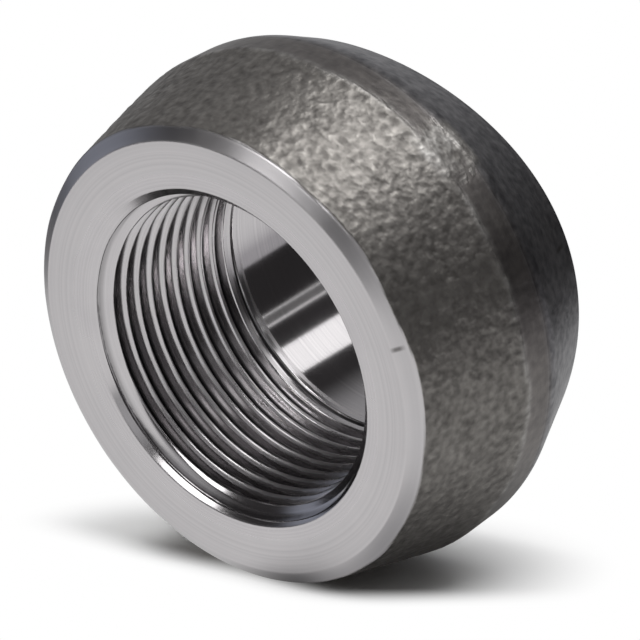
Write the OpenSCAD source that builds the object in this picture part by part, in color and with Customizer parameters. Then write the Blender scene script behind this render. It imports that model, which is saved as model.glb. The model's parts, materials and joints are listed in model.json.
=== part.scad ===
// Threaded branch outlet fitting: one forging that is welded over a hole in a run pipe,
// with its base cut to the run pipe's curve and a pipe thread in the far end for the branch.
// The branch axis is Z with the outlet face on top, and the run pipe lies along X below it.

/* [Outlet end] */
// Diameter of the flat ring of the outlet face
face_d = 55; // [48:0.5:57]
// Diameter at the outer edge of the chamfer round the face
neck_d = 58.6; // [57.5:0.1:62]
// Depth of that chamfer along the axis
chamfer_depth = 1.3; // [0.5:0.1:3]

/* [Bore] */
// Diameter of the drilled bore, which is the tapping size of the outlet thread
bore_d = 38.1; // [32:0.1:40]
// Diameter of the countersink at the outlet face
countersink_d = 43.2; // [41:0.1:46]
// Included angle of the countersink
countersink_angle = 90; // [70:1:110]

/* [Body] */
// Diameter of the base at the ridge where the forged cone meets the turned band
base_d = 65; // [63:0.5:70]
// Depth of the ridge below the outlet face
ridge_depth = 15.8; // [11:0.1:19]
// Diameter of the turned band at its lower edge
band_end_d = 64.4; // [62:0.1:65]
// Depth of the turned band's lower edge below the outlet face
band_depth = 21.4; // [19.5:0.1:23]
// Slope of the heel under the band, measured from the branch axis
heel_angle = 25.5; // [18:0.5:32]

/* [Run pipe saddle] */
// Outside diameter of the run pipe that the base is cut to fit
run_d = 168.3; // [110:0.1:330]
// Height of the outlet face above the crown of the run pipe
outlet_height = 33.8; // [31:0.1:36]
// Diameter of the land round the bore that sits on the run pipe
root_d = 43.2; // [40.5:0.1:46]
// Height of the root face, from the run pipe up to the weld bevel
root_face = 1.2; // [0.6:0.1:2]
// Slope of the weld bevel, measured from the branch axis
bevel_angle = 52; // [45:1:60]

/* [Hidden] */
// Facets of a full circle, and of the bevel where it follows the saddle
$fn = 128;
bevel_sides = 96;
// Overlap that carries a cut past the surface it opens
cut_over = 2;

run_r = run_d / 2;
root_r = root_d / 2;
countersink_depth = (countersink_d - bore_d) / 2 / tan(countersink_angle / 2);
// Drop of the run pipe's surface below its crown, at a distance across the pipe
function run_drop(across) = run_r - sqrt(run_r * run_r - across * across);
// The skirts on the two flanks of the run pipe reach lowest, and stand at Z = 0
skirt_drop = run_drop(root_r);
total_h = outlet_height + skirt_drop;
crown_z = skirt_drop;
// The heel runs down past the skirts before the saddle and the bevel cut it off
heel_r = band_end_d / 2 - (total_h - band_depth) * tan(heel_angle);
// The bevel's cut runs from inside the land to outside the base
bevel_inner_r = root_r - cut_over;
bevel_outer_r = base_d / 2 + cut_over;

// Half section of the turned and forged body, from the axis out
module body_section() {
    polygon([
        [0, 0],
        [heel_r, 0],
        [band_end_d / 2, total_h - band_depth],
        [base_d / 2, total_h - ridge_depth],
        [neck_d / 2, total_h - chamfer_depth],
        [face_d / 2, total_h],
        [0, total_h]
    ]);
}

// Straight bore and its countersink, open at both ends
module bore_cut() {
    translate([0, 0, -cut_over])
        cylinder(d = bore_d, h = total_h + 2 * cut_over);
    translate([0, 0, total_h - countersink_depth])
        cylinder(d1 = bore_d, d2 = countersink_d, h = countersink_depth);
}

// Run pipe that the saddle is cut to
module run_cut() {
    translate([0, 0, crown_z - run_r])
        rotate([0, 90, 0])
            cylinder(r = run_r, h = 2 * base_d, center = true, $fn = 256);
}

// Height of the weld bevel at a radius and an angle round the branch: it starts at the top of
// the root face and rises outwards by its slope, while the run pipe falls away on the flanks
function bevel_z(radius, angle) =
    crown_z - run_drop(radius * sin(angle)) + root_face + (radius - root_r) / tan(bevel_angle);

// Points round the branch at one radius, at the bevel's height or at a given one
function bevel_ring(radius, flat_z = undef) = [
    for (i = [0 : bevel_sides - 1])
        let (angle = 360 * i / bevel_sides)
        [radius * cos(angle), radius * sin(angle), is_undef(flat_z) ? bevel_z(radius, angle) : flat_z]
];

// Ring of metal below the weld bevel and outside the land, to be cut away
module bevel_cut() {
    floor_z = -cut_over - run_drop(bevel_outer_r);
    rings = [
        bevel_ring(bevel_inner_r),
        bevel_ring((bevel_inner_r + bevel_outer_r) / 2),
        bevel_ring(bevel_outer_r),
        bevel_ring(bevel_outer_r, floor_z),
        bevel_ring(bevel_inner_r, floor_z)
    ];
    ring_count = len(rings);
    faces = [
        for (k = [0 : ring_count - 1], i = [0 : bevel_sides - 1])
            let (
                j = (i + 1) % bevel_sides,
                here = k * bevel_sides,
                next = ((k + 1) % ring_count) * bevel_sides
            )
            each [[here + i, next + j, next + i], [here + i, here + j, next + j]]
    ];
    difference() {
        polyhedron([for (ring = rings) each ring], faces, convexity = 4);
        translate([0, 0, floor_z - cut_over])
            cylinder(r = root_r, h = total_h - floor_z);
    }
}

// The fitting, one forging: turned and bored, then cut to the run pipe and bevelled for the weld
module outlet_body() {
    color([0.62, 0.61, 0.6])
        difference() {
            rotate_extrude() body_section();
            bore_cut();
            run_cut();
            bevel_cut();
        }
}

outlet_body();
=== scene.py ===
"""Looks of the threaded branch outlet fitting: a forged steel outlet, lying on the side of its cone."""
import json
import math

import bpy
import numpy as np
from mathutils import Matrix, Vector


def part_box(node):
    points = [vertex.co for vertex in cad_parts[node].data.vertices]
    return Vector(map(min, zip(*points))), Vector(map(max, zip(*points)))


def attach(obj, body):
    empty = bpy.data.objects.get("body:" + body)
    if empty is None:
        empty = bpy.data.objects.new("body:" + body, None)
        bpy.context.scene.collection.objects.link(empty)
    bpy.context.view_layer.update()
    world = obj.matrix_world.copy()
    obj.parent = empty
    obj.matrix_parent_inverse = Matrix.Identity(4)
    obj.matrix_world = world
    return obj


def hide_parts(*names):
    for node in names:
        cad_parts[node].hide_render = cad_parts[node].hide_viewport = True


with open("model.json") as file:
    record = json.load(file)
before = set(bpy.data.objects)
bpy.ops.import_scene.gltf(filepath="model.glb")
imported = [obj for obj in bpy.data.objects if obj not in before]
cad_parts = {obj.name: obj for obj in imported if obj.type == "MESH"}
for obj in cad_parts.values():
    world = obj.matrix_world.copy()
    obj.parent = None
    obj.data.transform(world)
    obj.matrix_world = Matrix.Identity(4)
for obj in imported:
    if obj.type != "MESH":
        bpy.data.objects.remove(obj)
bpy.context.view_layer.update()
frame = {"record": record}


# OUTSIDE OF THE BODY. A drop forging in carbon steel. The outlet face, the chamfer round it and the band round
# the base are turned on a lathe. The cone between them keeps the blasted skin that the die left, so the
# chamfer and the band cut that rough skin off along slightly wavy edges. Sizes are in millimetres.
MM = 0.001
body_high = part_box("outlet_body")[1]
base_r = body_high.x / MM
total_h = body_high.z / MM
face_r = 27.5
neck_r = 29.3
chamfer_depth = 1.3
ridge_depth = 15.8
band_end_r = 32.2
band_depth = 21.4
band_round = 1.0
forged_slope = (base_r - neck_r) / (ridge_depth - chamfer_depth)
band_slope = (base_r - band_end_r) / (band_depth - ridge_depth)
chamfer_slope = (neck_r - face_r) / chamfer_depth

# Steps of the mesh round the axis, outside and in the bore, and the radius on the face where the two meet
columns = 528
bore_columns = columns // 4
face_join_r = 24.6
around = np.linspace(0, 2 * math.pi, columns, endpoint=False)[None, :]


def rough_field(rows, row_step, column_step, grain, seed):
    """Random heights on a grid that closes on itself, smoothed to one grain size: white noise times a
    Gaussian in the frequency plane, shifted to a mean of zero and scaled to a spread of one."""
    white = np.random.default_rng(seed).standard_normal((rows, columns))
    row_waves = np.fft.fftfreq(rows, row_step)[:, None]
    column_waves = np.fft.rfftfreq(columns, column_step)[None, :]
    blur = np.exp(-2 * (math.pi * grain) ** 2 * (row_waves ** 2 + column_waves ** 2))
    field = np.fft.irfft2(np.fft.rfft2(white) * blur, s=white.shape)
    return (field - field.mean()) / field.std()


def read_rows(field, row):
    """Values of a field at rows that may lie between its own: a straight-line mix of the two nearest."""
    upper = np.floor(row).astype(int)
    share = (row - upper)[:, None]
    return field[upper] * (1 - share) + field[upper + 1] * share


def soft_least(first, second, blend):
    """The lesser of two arrays, with the corner where they cross rounded over a length blend."""
    gap = np.abs(first - second)
    return np.minimum(first, second) - np.maximum(blend - gap, 0) ** 2 / (4 * blend)


def smooth_step(value):
    """0 below 0, 1 above 1, and the cubic 3 v squared minus 2 v cubed between."""
    value = np.clip(value, 0, 1)
    return value * value * (3 - 2 * value)


def corner(before, point, after, steps):
    """A rounded corner in the half section: the quadratic curve from before to after that point pulls on.
    Gives one (radius, depth) row for each step."""
    share = np.linspace(0, 1, steps)[:, None]
    before, point, after = np.array(before), np.array(point), np.array(after)
    return (1 - share) ** 2 * before + 2 * share * (1 - share) * point + share ** 2 * after


# The forging skin: a fine grain over slower waves and swells, on even rows down the side
skin_step = 0.29
skin_rows = 88
grain_step = 2 * math.pi * base_r / columns
skin_grain = rough_field(skin_rows, skin_step, grain_step, grain=0.3, seed=11)
skin_waves = rough_field(skin_rows, skin_step, grain_step, grain=1.8, seed=13)
skin_swells = rough_field(skin_rows, skin_step, grain_step, grain=4.5, seed=14)
grain_height = 0.022
wave_height = 0.03
swell_height = 0.095
skin_inset = 0.04

# Rows of the side, from the face edge down to the lower edge of the band, closer together at the chamfer
chamfer_step = 0.16
chamfer_rows_end = 2.5
skin_rows_start = 2.6
side_end = band_depth - band_round - 0.1
side_depth = np.concatenate([
    np.arange(chamfer_step, chamfer_rows_end, chamfer_step),
    np.arange(skin_rows_start, side_end, skin_step),
])[:, None]
skin_row = side_depth[:, 0] / skin_step
relief = read_rows(wave_height * skin_waves + swell_height * skin_swells, skin_row)
pits = read_rows(skin_grain, skin_row)

# The grain sets in a little below the chamfer, and the chamfer and the band take off what stands proud of them
grain_start = chamfer_depth + 0.2
grain_fade = 1.2
cut_round = 0.1
skin_fade = 0.12
grain = grain_height * pits * smooth_step((side_depth - grain_start) / grain_fade)
forged_r = neck_r + forged_slope * (side_depth - chamfer_depth) - skin_inset + relief + grain
chamfer_r = face_r + chamfer_slope * side_depth
band_r = base_r - band_slope * (side_depth - ridge_depth)
turned_r = np.minimum(chamfer_r, np.minimum(band_r, base_r))
uncut_skin = smooth_step(0.5 + (turned_r - forged_r) / skin_fade)

# A low spot of the forging that the lathe tool missed, where the rough skin runs on over the band
spot_angle = math.radians(-52.8)
spot_reach = math.radians(7.5)
spot_steepness = 2.2
spot_raggedness = 0.35
spot_sink = 0.06
spot_turn = (around - spot_angle + math.pi) % (2 * math.pi) - math.pi
spot_inside = spot_steepness * (1 - np.abs(spot_turn) / spot_reach)
below_ridge = smooth_step(side_depth - ridge_depth + 1)
missed_spot = smooth_step(spot_inside + spot_raggedness * pits) * below_ridge
side_skin = np.maximum(uncut_skin, missed_spot)
side_r = soft_least(forged_r, turned_r, cut_round) - missed_spot * np.maximum(spot_sink + grain, 0)

# The face and its outer edge, which is broken by a fine round
edge_break = 0.16
edge_along = edge_break / math.hypot(1, chamfer_slope)
face_rows = np.array([[face_join_r, 0], [0.5 * (face_join_r + face_r), 0]])
face_edge = corner(
    (face_r - edge_break, 0), (face_r, 0), (face_r + chamfer_slope * edge_along, edge_along), steps=4
)
face_ring = np.concatenate([face_rows, face_edge])


# WELD END OF THE BODY. The base is turned in to a heel under the band, milled to the curve of the run pipe,
# and bevelled for the weld at a steady slope, from a narrow root face that follows that curve.
run_r = 84.15
crown_depth = 33.8
root_r = 21.6
root_face = 1.2
heel_slope = math.tan(math.radians(25.5))
bevel_rise = 1 / math.tan(math.radians(52))


def run_drop(across):
    """How far the run pipe's surface lies below its crown at a distance across the pipe."""
    return run_r - np.sqrt(run_r ** 2 - across ** 2)


def saddle_depth(radius, angle):
    """Depth of the saddle below the outlet face at a radius and an angle round the branch."""
    return crown_depth + run_drop(radius * np.sin(angle))


def bevel_depth(radius, angle):
    """Depth of the weld bevel: the saddle's depth less the root face and the rise of the bevel's slope."""
    return saddle_depth(radius, angle) - root_face - (radius - root_r) * bevel_rise


def all_round(rows, angles):
    """Spreads the (radius, depth) rows of a turned shape over the angles round the axis."""
    return rows[:, :1] + 0 * angles, rows[:, 1:] + 0 * angles


# The heel meets the bevel where the two depths agree, found by repeating a straight-line solution
bevel_edge_r = np.full_like(around, 0.5 * (root_r + band_end_r))
for _ in range(8):
    level = saddle_depth(bevel_edge_r, around) - root_face + root_r * bevel_rise
    bevel_edge_r = (band_depth + band_end_r / heel_slope - level) / (1 / heel_slope - bevel_rise)
bevel_edge_depth = bevel_depth(bevel_edge_r, around)

heel_rows = 7
bevel_rows = 7
land_join_r = 20.3
band_edge = corner(
    (band_end_r + band_round * band_slope, band_depth - band_round),
    (band_end_r, band_depth),
    (band_end_r - band_round * heel_slope, band_depth + band_round),
    steps=9,
)
heel_share = np.linspace(0, 1, heel_rows + 1)[1:, None]
heel_r = band_edge[-1, 0] + heel_share * (bevel_edge_r - band_edge[-1, 0])
heel_depth = band_edge[-1, 1] + heel_share * (bevel_edge_depth - band_edge[-1, 1])
bevel_share = np.linspace(0, 1, bevel_rows + 1)[1:, None]
bevel_r = bevel_edge_r + bevel_share * (root_r - bevel_edge_r)
root_share = np.array([[0.5], [1.0]])
land_r = np.array([[0.5 * (root_r + land_join_r)], [land_join_r]]) + 0 * around

outer_zones = [
    ("face", *all_round(face_ring, around)),
    ("side", side_r, side_depth + 0 * around),
    ("band", *all_round(band_edge, around)),
    ("heel", heel_r, heel_depth),
    ("bevel", bevel_r, bevel_depth(bevel_r, around)),
    ("root", root_r + 0 * (root_share + around), bevel_depth(root_r, around) + root_share * root_face),
    ("land", land_r, saddle_depth(land_r, around)),
]


# BORE AND THREAD OF THE BODY. The bore is drilled through, countersunk at the face, and tapped with a taper
# pipe thread of 11.5 threads to the inch. The tap's last turns run out, and the bore stays plain below them.
bore_r = frame["record"]["mounts"][0]["dims"]["r_mm"]
pitch = 25.4 / 11.5
mouth_r = 21.6
tap_r = 21.22
tap_taper = 1 / 32
tap_height = 1.767
tap_wear = 0.35
full_thread_depth = 21.4
thread_end_depth = 24.2
run_out_rise = tap_r - bore_r - 0.5
start_turn = 0.16
bore_round = 0.1
crest_round = 0.06

# Rows of the thread, from the bottom up
rows_per_turn = 26
first_row = 0.2
last_row = thread_end_depth + 0.3
bore_around = np.linspace(0, 2 * math.pi, bore_columns, endpoint=False)[None, :]
thread_depth = np.arange(first_row, last_row, pitch / rows_per_turn)[::-1, None]


def groove(turns):
    """A V groove as a share of its height, from 0 at the root to 1 at the crest, once a turn: a triangle wave
    less a small sine of itself, which rounds the root and the crest as a worn tap does."""
    wave = 1 - np.abs(2 * (turns - np.floor(turns)) - 1)
    return wave - tap_wear * np.sin(2 * math.pi * wave) / (2 * math.pi)


def soft_greatest(first, second, blend):
    """The greater of two arrays, with the corner where they cross rounded over a length blend."""
    return -soft_least(-first, -second, blend)


run_out = np.maximum(thread_depth - full_thread_depth, 0) / (thread_end_depth - full_thread_depth)
thread_root_r = tap_r - tap_taper * thread_depth - run_out_rise * run_out
crest_share = groove(thread_depth / pitch + bore_around / (2 * math.pi) + start_turn)
cut_r = thread_root_r - tap_height * crest_share
countersink_r = mouth_r - thread_depth
plain_r = soft_greatest(countersink_r, bore_r, bore_round)
thread_r = soft_greatest(cut_r, plain_r, crest_round)

bore_bottom = saddle_depth(bore_r, bore_around)
bore_share = np.array([0, 0.2, 0.4, 0.6, 0.8, 0.95, 0.99])[:, None]
bore_depth = bore_bottom + bore_share * (thread_depth[0, 0] - bore_bottom)
mouth_break = 0.13
mouth_blend = 0.18
mouth_edge = corner((mouth_r - mouth_break, mouth_break), (mouth_r, 0), (mouth_r + mouth_blend, 0), steps=4)
inner_face = np.array([[0.5 * (mouth_r + face_join_r), 0]])

inner_zones = [
    ("bore", bore_r + 0 * bore_depth, bore_depth),
    ("thread", thread_r, thread_depth + 0 * bore_around),
    ("mouth", *all_round(np.concatenate([mouth_edge, inner_face]), bore_around)),
]


def place(zones, angles):
    """Points of the zones in metres: each row's radius is turned to its angle, and its depth is measured down
    from the outlet face."""
    radius = np.concatenate([zone[1] for zone in zones])
    depth = np.concatenate([zone[2] for zone in zones])
    return np.stack([radius * np.cos(angles), radius * np.sin(angles), total_h - depth], axis=-1) * MM


def strips(numbers):
    """Quads between each row of point numbers and the next, closed round the axis, facing outwards."""
    turned = np.roll(numbers, -1, axis=1)
    return np.stack([numbers[:-1], numbers[1:], turned[1:], turned[:-1]], axis=-1).reshape(-1, 4)


def join_rings(fine, coarse, fine_first):
    """Triangles between a ring of points and one with a quarter as many: each coarse point takes two fine
    steps on either side of it, and one more triangle fills the gap to the next coarse point."""
    first, second, third, fourth = fine[0::4], fine[1::4], fine[2::4], fine[3::4]
    next_first, next_coarse = np.roll(first, -1), np.roll(coarse, -1)
    made = np.concatenate([
        np.stack([first, coarse, second], axis=-1),
        np.stack([second, coarse, third], axis=-1),
        np.stack([third, coarse, next_coarse], axis=-1),
        np.stack([third, next_coarse, fourth], axis=-1),
        np.stack([fourth, next_coarse, next_first], axis=-1),
    ])
    return made if fine_first else made[:, ::-1]


# One closed mesh: the outside from the face down to the land, then the bore from the land back up to the face
outer_points = place(outer_zones, around)
inner_points = place(inner_zones, bore_around)
outer_numbers = np.arange(outer_points[..., 0].size).reshape(outer_points.shape[:2])
inner_numbers = outer_numbers.size + np.arange(inner_points[..., 0].size).reshape(inner_points.shape[:2])
points = np.concatenate([outer_points.reshape(-1, 3), inner_points.reshape(-1, 3)])
quads = np.concatenate([strips(outer_numbers), strips(inner_numbers)])
triangles = np.concatenate([
    join_rings(outer_numbers[-1], inner_numbers[0], True),
    join_rings(outer_numbers[0], inner_numbers[-1], False),
])
body_mesh = bpy.data.meshes.new("outlet_body_skin")
body_mesh.from_pydata(points.tolist(), [], quads.tolist() + triangles.tolist())
body_mesh.polygons.foreach_set("use_smooth", np.ones(len(body_mesh.polygons), dtype=bool))

# Edges that the cutters leave sharp: the bevel's two edges, the root and the bottom of the bore
zone_names = [zone[0] for zone in outer_zones]
outer_ends = np.cumsum([len(zone[1]) for zone in outer_zones]) - 1
crisp_rows = [outer_numbers[outer_ends[zone_names.index(name)]] for name in ("heel", "bevel", "root")]
crisp_row_of = np.zeros(len(points), dtype=int)
for number, row in enumerate(crisp_rows + [inner_numbers[0]], start=1):
    crisp_row_of[row] = number
edge_points = np.empty(2 * len(body_mesh.edges), dtype=np.int32)
body_mesh.edges.foreach_get("vertices", edge_points)
first_end, second_end = crisp_row_of[edge_points.reshape(-1, 2)].T
crisp = (first_end > 0) & (first_end == second_end)
body_mesh.attributes.new("sharp_edge", "BOOLEAN", "EDGE").data.foreach_set("value", crisp)

# The finish of each zone, which the steel reads from the mesh. Polish is how rough the turned metal is, and
# the dull share is how far it is from bright: a dull finish on the band and the heel, and a painted shade in
# the roots of the thread, less in the first turn by the mouth.
cone_middle = 8
dull_polish = 0.4
flank_polish = 0.17
crest_polish = 0.28
countersink_end = 2.6
first_turn_end = 2
groove_top = 0.5
groove_blend = 0.3
crest_start = 0.8
cut_fade = 0.2
cut_share = smooth_step((thread_r - plain_r) / cut_fade)
# Painted shade: the roots of the thread are painted dark, less in the first turn by the mouth
root_shade = np.where(thread_depth < first_turn_end, 0.4, 0.98)
groove_shade = smooth_step((groove_top - crest_share) / groove_blend) * cut_share * root_shade
bright_turn_polish = np.where(crest_share > crest_start, crest_polish, flank_polish)
turn_polish = np.where(groove_shade > 0.5, dull_polish, bright_turn_polish)
polish_of = {
    "face": 0.36,
    "side": np.where(side_depth < cone_middle, 0.3, dull_polish),
    "band": dull_polish,
    "heel": dull_polish,
    "bevel": 0.42,
    "root": 0.42,
    "land": 0.42,
    "bore": 0.1,
    "thread": np.where(thread_depth < countersink_end, flank_polish, turn_polish),
    "mouth": 0.26,
}
side_dull = np.where(side_depth < cone_middle, 0.0, 0.84)
dull_and_shade_of = {
    "side": side_dull,
    "band": 1.0,
    "heel": 1.0,
    "bevel": 0.5,
    "root": 0.5,
    "land": 0.45,
    "thread": groove_shade,
}

# Where the forging skin is left, and where it is painted worn bright, partly wear and partly a painted
# highlight:
# along the ridge and on the missed spot
spot_wear_and_highlight = 0.95
edge_spot = smooth_step(spot_inside) * smooth_step(np.linspace(2, 0, len(band_edge)))[:, None]
# Wear and a painted highlight along the ridge where the skin meets the band
ridge_wear_and_highlight = np.exp(-((turned_r - forged_r) / skin_fade) ** 2) * side_dull
skin_of = {"side": side_skin, "band": edge_spot}
wear_and_highlight_of = {"side": np.maximum(ridge_wear_and_highlight, spot_wear_and_highlight * missed_spot), "band": spot_wear_and_highlight * edge_spot}


def over_zones(values):
    """One number for each point of the mesh: its zone's number or array, and 0 for a zone that has none."""
    return np.concatenate([
        np.broadcast_to(values.get(name, 0.0), radius.shape).ravel()
        for name, radius, depth in outer_zones + inner_zones
    ]).astype(np.float32)


for name, values in (("polish", polish_of), ("skin", skin_of), ("dull_and_shade", dull_and_shade_of), ("wear_and_highlight", wear_and_highlight_of)):
    body_mesh.attributes.new(name, "FLOAT", "POINT").data.foreach_set("value", over_zones(values))


# STEEL OF THE BODY. One bare carbon steel. The turned surfaces are bright with fine tool marks, but dull and
# blotched on the band and the heel, with a painted shade in the thread's roots. The blasted forging skin is
# grainy and slightly brown, with painted shade in its pits, and is painted lighter where it is worn, which
# also paints the highlights along the ridge and on the missed spot.
class Shade:
    """An output of a shader node that takes part in sums: each operator adds one Math node to its tree."""

    def __init__(self, tree, socket=None):
        self.tree = tree
        self.socket = socket

    def node(self, kind, settings=None, inputs=None, output=0):
        """Adds a node of a kind, makes its settings, then fills its inputs with values or links."""
        made = self.tree.nodes.new(kind)
        for name, value in (settings or {}).items():
            setattr(made, name, value)
        for name, value in (inputs or {}).items():
            if isinstance(value, Shade):
                self.tree.links.new(value.socket, made.inputs[name])
            else:
                made.inputs[name].default_value = value
        return Shade(self.tree, made.outputs[output]) if made.outputs else None

    def math(self, operation, *values):
        """A Math node on sockets or numbers."""
        return self.node("ShaderNodeMath", {"operation": operation}, dict(enumerate(values)))

    def clamped(self):
        """The same value, kept between 0 and 1."""
        return self.node("ShaderNodeClamp", None, {"Value": self})

    def __add__(self, other):
        return self.math("ADD", self, other)

    def __sub__(self, other):
        return self.math("SUBTRACT", self, other)

    def __rsub__(self, other):
        return self.math("SUBTRACT", other, self)

    def __mul__(self, other):
        return self.math("MULTIPLY", self, other)

    __radd__ = __add__
    __rmul__ = __mul__


def new_material(name):
    """An empty node material, given with a Shade to add nodes to it."""
    material = bpy.data.materials.new(name)
    material.use_nodes = True
    material.node_tree.nodes.clear()
    return material, Shade(material.node_tree)


def vector_math(operation, first, second=(0, 0, 0), output=0):
    """A Vector Math node on a socket and, where the operation takes one, a second vector."""
    inputs = {0: first, 1: tuple(second)}
    return first.node("ShaderNodeVectorMath", {"operation": operation}, inputs, output)


def along(position, direction):
    """How far a position lies along a direction: their dot product."""
    return vector_math("DOT_PRODUCT", position, direction, "Value")


def noise(position, scale, detail, roughness):
    """Noise in space, with grains about one scale-th of a metre across."""
    return position.node(
        "ShaderNodeTexNoise", {"noise_dimensions": "3D"},
        {"Vector": position, "Scale": scale, "Detail": detail, "Roughness": roughness},
    )


def ramp(value, start, end):
    """0 at a start value, rising smoothly to 1 at an end value, which may be the lower of the two."""
    return value.node(
        "ShaderNodeMapRange", {"interpolation_type": "SMOOTHSTEP"},
        {"Value": value, "From Min": start, "From Max": end},
    )


def mix_colour(factor, first, second):
    """The colour first at factor 0, second at factor 1."""
    return factor.node("ShaderNodeMix", {"data_type": "RGBA"}, {0: factor, 6: first, 7: second}, 2)


steel, nodes = new_material("forged_steel_bare")
on_part = nodes.node("ShaderNodeTexCoord", output="Object")
turned_rough, skin_share, dull_and_shade_share, worn_and_highlight_share = [
    nodes.node("ShaderNodeAttribute", {"attribute_name": name}, output="Fac")
    for name in ("polish", "skin", "dull_and_shade", "wear_and_highlight")
]
radius = vector_math("LENGTH", vector_math("MULTIPLY", on_part, (1, 1, 0)), output="Value")
height = nodes.node("ShaderNodeSeparateXYZ", None, {0: on_part}, "Z")

# Tool marks run round the axis, so they follow the radius on the face and the height on the band and bore
marks = nodes.node(
    "ShaderNodeTexNoise", {"noise_dimensions": "1D"},
    {"W": radius + height, "Scale": 2600.0, "Detail": 2.0, "Roughness": 0.6},
)
smears = noise(on_part, scale=160.0, detail=3.0, roughness=0.5)
bright_colour = mix_colour(
    (marks * 0.6 + smears * 0.4 - 0.3).clamped() * 2.0, (0.448, 0.434, 0.442, 1), (0.54, 0.521, 0.527, 1)
)

# Blotches on the dull metal: brown on the band and grey on the heel. A near black painted shade fills the
# roots of the thread, and also darkens the root face and land at the weld end by about half
grains = noise(on_part, scale=980.0, detail=1.3, roughness=0.4)
blotches = noise(on_part, scale=260.0, detail=6.0, roughness=0.72)
blotch_light = (blotches * 2.2 + grains * 1.6 - 1.4).clamped()
band_colour = mix_colour(blotch_light, (0.058, 0.051, 0.046, 1), (0.13, 0.118, 0.107, 1))
heel_colour = mix_colour(blotch_light, (0.118, 0.117, 0.124, 1), (0.255, 0.25, 0.256, 1))
# Near black, a painted shade for the thread's roots
bore_shade_colour = (0.045, 0.043, 0.045, 1)
heel_top = total_h - band_depth
heel_tint_start = heel_top + 1.7
heel_tint_end = heel_top + 0.1
on_heel = ramp(height, heel_tint_start * MM, heel_tint_end * MM)
bore_side_r = root_r + 0.3
bore_side_fade = 0.1
in_bore = ((bore_side_r * MM - radius) * (1 / (bore_side_fade * MM))).clamped()
dull_and_shade_colour = mix_colour(in_bore, mix_colour(on_heel, band_colour, heel_colour), bore_shade_colour)
turned_colour = mix_colour(dull_and_shade_share, bright_colour, dull_and_shade_colour)

# The skin's grain: fine blast pits over larger die marks, lighter on the high spots and painted darker in the
# pits as their shade
patches = noise(on_part, scale=330.0, detail=3.0, roughness=0.55)
grain_tone_and_pit_shade = (grains * 1.55 + patches * 0.65 - 0.6).clamped()
forged_colour = mix_colour(grain_tone_and_pit_shade, (0.09, 0.084, 0.079, 1), (0.225, 0.214, 0.2, 1))
# The worn colour paints wear and also the highlights on the ridge and the missed spot
worn_and_highlight_colour = (0.48, 0.47, 0.455, 1)
worn_and_highlight_spots = worn_and_highlight_share * (0.05 + 0.75 * grain_tone_and_pit_shade) * (patches * 3 - 0.9).clamped()
clean_colour = mix_colour(worn_and_highlight_spots, mix_colour(skin_share, turned_colour, forged_colour), worn_and_highlight_colour)

# A dark mark painted across the chamfer where a knock left a nick: no dent is drawn, only this darker colour
nick_angle = math.radians(-85.5)
nick_half_width = 0.36
nick_inner_r = 27.2
nick_outer_r = 28.9
nick_fade = 0.625
nick_strength = 0.75
nick_colour = (0.07, 0.065, 0.06, 1)
nick_out = along(on_part, (math.cos(nick_angle), math.sin(nick_angle), 0))
nick_aside = along(on_part, (-math.sin(nick_angle), math.cos(nick_angle), 0))
nick_middle = (1 - nick_aside * nick_aside * (nick_half_width * MM) ** -2).clamped()
nick_inner_end = ((nick_out - nick_inner_r * MM) * (1 / (nick_fade * MM))).clamped()
nick_outer_end = ((nick_outer_r * MM - nick_out) * (1 / (nick_fade * MM))).clamped()
nick = nick_middle * (nick_inner_end * nick_outer_end) * nick_strength
steel_colour = mix_colour(nick, clean_colour, nick_colour)

# Heights of the pits in the skin, of the dull metal's grain and of the tool marks are in millimetres
pit_height = 0.13
dull_height = 0.05
mark_height = 0.0025
turned_share = 1 - skin_share
forged_rough = 0.52 - 0.1 * grain_tone_and_pit_shade
steel_rough = turned_rough * (0.8 + 0.4 * smears) * turned_share + forged_rough * skin_share
grain_relief = grains * (pit_height * skin_share + dull_height * dull_and_shade_share)
fine_relief = grain_relief + marks * mark_height * turned_share
steel_bump = nodes.node("ShaderNodeBump", None, {"Strength": 1.0, "Distance": MM, "Height": fine_relief})
steel_shader = nodes.node("ShaderNodeBsdfPrincipled", None, {
    "Base Color": steel_colour,
    "Metallic": 1 - 0.15 * skin_share,
    "Roughness": steel_rough,
    "Normal": steel_bump,
    "Specular Tint": (0.7, 0.7, 0.7, 1),
})
nodes.node("ShaderNodeOutputMaterial", None, {"Surface": steel_shader})
body_mesh.materials.append(steel)

outlet = bpy.data.objects.new("outlet_body_finished", body_mesh)
bpy.context.scene.collection.objects.link(outlet)
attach(outlet, "root")
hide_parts("outlet_body")


# CAMERA. It looks into the bore from a little above the floor that the fitting lies on, from far enough away
# that the view is nearly parallel. Its right, up and toward axes also place the floor and the lamps.
view_azimuth = math.radians(24.2)
view_elevation = math.radians(41.02)
view_roll = math.radians(-121.53)
view_distance = 1.2
sensor_width = 36
picture_width = 640
pixels_per_mm = 8.562
face_centre_pixel = (225.0, 358.9)

toward = Vector((
    math.sin(view_azimuth) * math.cos(view_elevation),
    -math.cos(view_azimuth) * math.cos(view_elevation),
    math.sin(view_elevation),
))
level_right = Vector((math.cos(view_azimuth), math.sin(view_azimuth), 0))
level_up = toward.cross(level_right)
right = level_right * math.cos(view_roll) + level_up * math.sin(view_roll)
up = level_up * math.cos(view_roll) - level_right * math.sin(view_roll)


def seen(rightward, upward, nearer):
    """A direction given along the camera's right, up and toward axes, in the part's frame."""
    return (right * rightward + up * upward + toward * nearer).normalized()


def turned_to(first, second, third, centre):
    """The placement whose axes are three directions at right angles, at a centre."""
    return Matrix.Translation(centre) @ Matrix((first, second, third)).transposed().to_4x4()


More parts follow.
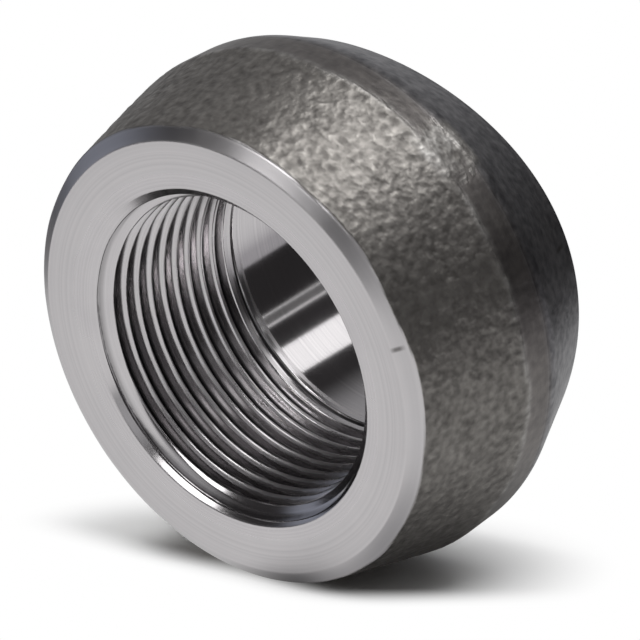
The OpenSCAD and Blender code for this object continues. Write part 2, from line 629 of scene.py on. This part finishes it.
face_centre = Vector((0, 0, total_h * MM))
picture_centre = face_centre + (
    right * (picture_width / 2 - face_centre_pixel[0]) - up * (picture_width / 2 - face_centre_pixel[1])
) * MM / pixels_per_mm
camera_data = bpy.data.cameras.new("camera")
camera_data.sensor_width = sensor_width
camera_data.lens = sensor_width * view_distance * pixels_per_mm / MM / picture_width
camera_data.clip_end = 10
camera = bpy.data.objects.new("camera", camera_data)
camera.matrix_world = turned_to(right, up, toward, picture_centre + toward * view_distance)
bpy.context.scene.collection.objects.link(camera)
bpy.context.scene.camera = camera


# FLOOR. A white table top just under the line where the cone touches it. It is white to the camera and in
# reflections, keeps the fitting's shadow, and can't be seen from below. Close to the fitting, where the table
# lies in its shade, reflections go through to the dark walls. Distances on the floor are in metres.
touch_angle = math.radians(172.3)
touch_depth = 0.5 * (chamfer_depth + ridge_depth)
touch_r = neck_r + forged_slope * (touch_depth - chamfer_depth)
floor_gap = 0.2
cone_tilt = math.atan(forged_slope)
touch_side = Vector((math.cos(touch_angle), math.sin(touch_angle), 0))
floor_up = -(touch_side * math.cos(cone_tilt) + Vector((0, 0, 1)) * math.sin(cone_tilt))
touch_point = (touch_side * touch_r + Vector((0, 0, total_h - touch_depth)) - floor_up * floor_gap) * MM
floor_front = (toward - floor_up * toward.dot(floor_up)).normalized()
floor_right = floor_up.cross(floor_front)
floor_reach = {"front": 0.6, "back": 0.11, "side": 0.4}
floor_middle = touch_point + floor_front * 0.5 * (floor_reach["front"] - floor_reach["back"])
floor_first = floor_right * floor_reach["side"]
floor_second = floor_front * -0.5 * (floor_reach["front"] + floor_reach["back"])
floor_corners = [
    floor_middle + floor_first * a + floor_second * b for a, b in ((-1, -1), (1, -1), (1, 1), (-1, 1))
]
floor_mesh = bpy.data.meshes.new("floor")
floor_mesh.from_pydata([tuple(point) for point in floor_corners], [], [(0, 1, 2, 3)])
floor = bpy.data.objects.new("floor", floor_mesh)
bpy.context.scene.collection.objects.link(floor)
floor.visible_shadow = False

floor_paint, nodes = new_material("white_table")
under = nodes.node("ShaderNodeNewGeometry", output="Backfacing")
straight = nodes.node("ShaderNodeLightPath", output="Is Camera Ray")
mirrored = nodes.node("ShaderNodeLightPath", output="Is Glossy Ray")
on_table = nodes.node("ShaderNodeTexCoord", output="Object")
from_touch = vector_math("SUBTRACT", on_table, touch_point)
ahead = along(from_touch, floor_front)
aside = along(from_touch, right)


def clear_of(centre, near, far):
    """0 on the table within a near distance of a point, rising smoothly to 1 at a far distance."""
    return ramp(vector_math("DISTANCE", on_table, centre, "Value"), near, far)


# The shadow that the camera sees lies under the fitting and to its left, and ends in front of it
contact_clear = clear_of(touch_point + right * 0.009, 0.009, 0.028)
left_clear = clear_of(touch_point - right * 0.016 - floor_front * 0.013, 0.008, 0.023)
shade_front = ramp(ahead, 0.009, 0.018)
shade_front_left = ramp(ahead - aside, 0.006, 0.018)
seen_shade = (1 - contact_clear * left_clear) * (1 - shade_front) * (1 - shade_front_left)

# The shade that the steel mirrors lies round the touching line, but not at the front left
front_left = ramp(ahead, 0.006, 0.02) * (1 - ramp(aside, 0, 0.008))
mirrored_shade = (1 - clear_of(touch_point, 0.016, 0.046)) * (1 - front_left) * ramp(aside, -0.012, 0)

# Far to the right the table is painted grey for every ray but the camera's: a painted shade that reflections
# and bounced light see
far_right = ramp(along(on_table, right), 0.05, 0.16)
table_white_and_far_shade = mix_colour(far_right * (1 - straight), (1, 1, 1, 1), (0.56, 0.55, 0.57, 1))
bare_table_emission = nodes.node("ShaderNodeEmission", None, {"Color": table_white_and_far_shade, "Strength": 1.0})
shaded_top = nodes.node("ShaderNodeBsdfDiffuse", None, {"Color": (0.95, 0.95, 0.95, 1)})
open_table = (1 - seen_shade) * straight + mirrored
table_top = nodes.node("ShaderNodeMixShader", None, {0: open_table, 1: shaded_top, 2: bare_table_emission})
nothing = nodes.node("ShaderNodeBsdfTransparent")
left_out = under + (1 - under) * mirrored * mirrored_shade
floor_surface = nodes.node("ShaderNodeMixShader", None, {0: left_out, 1: table_top, 2: nothing})
nodes.node("ShaderNodeOutputMaterial", None, {"Surface": floor_surface})
floor_mesh.materials.append(floor_paint)


# STUDIO. Dark walls round the table, with pale patches and a bluish window, which only reflections show. Two
# soft boxes, two panels and two strips light the steel, and two lamps the table, before a plain white world.
wall_reach = 0.9
wall_columns = 48
wall_steps = 24
wall_turn, wall_rise = np.meshgrid(
    np.linspace(0, 2 * math.pi, wall_columns, endpoint=False),
    np.linspace(-0.5, 0.5, wall_steps + 1)[1:-1] * math.pi,
    indexing="xy",
)
wall_points = wall_reach * np.stack(
    [np.cos(wall_rise) * np.cos(wall_turn), np.cos(wall_rise) * np.sin(wall_turn), np.sin(wall_rise)], axis=-1
)
wall_numbers = np.arange(wall_rise.size).reshape(wall_rise.shape)
wall_poles = np.array([[0, 0, -wall_reach], [0, 0, wall_reach]])
wall_caps = [
    np.stack([ring, np.roll(ring, -turn), np.full_like(ring, wall_rise.size + pole)], axis=-1)
    for pole, ring, turn in ((0, wall_numbers[0], 1), (1, wall_numbers[-1], -1))
]
wall_mesh = bpy.data.meshes.new("studio_walls")
wall_mesh.from_pydata(
    wall_points.reshape(-1, 3).tolist() + wall_poles.tolist(), [],
    strips(wall_numbers).tolist() + np.concatenate(wall_caps).tolist(),
)
walls = bpy.data.objects.new("studio_walls", wall_mesh)
bpy.context.scene.collection.objects.link(walls)
walls.visible_camera = False
walls.visible_diffuse = False
walls.visible_shadow = False

wall_paint, nodes = new_material("dark_walls")
outward = vector_math("NORMALIZE", nodes.node("ShaderNodeTexCoord", output="Object"))


def wall_patch(direction, reach, level):
    """A level on the wall in a direction, falling smoothly to 0 at an angle of reach degrees from it."""
    return ramp(along(outward, direction), math.cos(math.radians(reach)), 1.0) * level


overhead = wall_patch(seen(-0.35, 0.85, -0.4), reach=45, level=0.52)
behind_left = wall_patch(seen(-0.25, 0.2, -0.95), reach=28, level=0.6)
round_camera = wall_patch(seen(-0.13, -0.06, 0.99), reach=20, level=0.6)
front_low_left = wall_patch(seen(-0.8, -0.15, 0.58), reach=21, level=0.5)
behind_right = wall_patch(seen(0.22, 0.45, -0.87), reach=28, level=0.75)
front_high_right = wall_patch(seen(0.62, 0.57, 0.54), reach=26, level=0.7)
below_table = wall_patch(-floor_up, reach=36, level=0.5)
pale_share = (
    overhead + behind_left + round_camera + front_low_left + behind_right + front_high_right + below_table
).clamped()
dark_wall = mix_colour(pale_share, (0.036, 0.034, 0.035, 1), (0.95, 0.95, 0.97, 1))
window = wall_patch(seen(-0.88, 0.2, -0.43), reach=25, level=0.45)
wall_colour = mix_colour(window, dark_wall, (0.78, 0.84, 1, 1))
wall_light = nodes.node("ShaderNodeEmission", None, {"Color": wall_colour, "Strength": 1.0})
nodes.node("ShaderNodeOutputMaterial", None, {"Surface": wall_light})
wall_mesh.materials.append(wall_paint)

# To the camera and in reflections the world is white, and it lights the table a little, most from overhead
world = bpy.data.worlds.new("white_background")
bpy.context.scene.world = world
world.use_nodes = True
world.node_tree.nodes.clear()
world.cycles.sampling_method = "NONE"
nodes = Shade(world.node_tree)
overhead_level = 0.7
diffuse_ray = nodes.node("ShaderNodeLightPath", output="Is Diffuse Ray")
sky_height = along(nodes.node("ShaderNodeTexCoord", output="Generated"), floor_up).clamped()
sky_level = 1 - diffuse_ray + diffuse_ray * sky_height * sky_height * overhead_level
sky = nodes.node("ShaderNodeBackground", None, {"Color": (1, 1, 1, 1), "Strength": sky_level})
nodes.node("ShaderNodeOutputWorld", None, {"Surface": sky})


def soft_box(name, direction, distance, width, length, level, long_axis=seen(0, 0, 1)):
    """A flat lamp that faces the fitting, with its length along an axis. Its energy is pi times its area times
    the level, which gives its surface that radiance."""
    lamp = bpy.data.lights.new(name, "AREA")
    lamp.shape = "RECTANGLE"
    lamp.size = width
    lamp.size_y = length
    lamp.energy = level * math.pi * width * length
    made = bpy.data.objects.new(name, lamp)
    side = long_axis.cross(direction).normalized()
    made.matrix_world = turned_to(side, direction.cross(side), direction, direction * distance)
    bpy.context.scene.collection.objects.link(made)
    return made


key = soft_box(
    "key_soft_box", seen(0.23, 0.915, 0.315),
    distance=0.6, width=0.3, length=0.22, level=9.6, long_axis=seen(-0.62, -0.12, 0.77),
)
key.visible_diffuse = False
table_lamp = soft_box(
    "table_lamp", seen(-0.37, 0.916, 0.131), distance=0.8, width=0.3, length=0.3, level=10.6
)
table_lamp.visible_glossy = False
table_fill = soft_box("table_fill", seen(0.45, 0.85, 0.2), distance=0.8, width=0.3, length=0.3, level=4.6)
table_fill.visible_glossy = False
soft_box("bore_panel", seen(0.625, 0.775, 0.07), distance=0.6, width=0.175, length=0.26, level=1.7)
left_box = soft_box(
    "left_soft_box", seen(-0.566, 0.393, 0.726),
    distance=0.6, width=0.2, length=0.36, level=3.7, long_axis=seen(-0.45, 0.1, -0.45),
)
left_box.visible_diffuse = False
soft_box("upper_strip_light", seen(0.914, 0.385, 0.13), distance=0.6, width=0.011, length=0.24, level=0.95)
soft_box("lower_strip_light", seen(0.87, 0.478, 0.13), distance=0.6, width=0.013, length=0.24, level=1.15)
soft_box("dim_panel", seen(0.893, 0.432, 0.13), distance=0.62, width=0.06, length=0.24, level=0.15)


bpy.context.scene.view_settings.view_transform = "Standard"
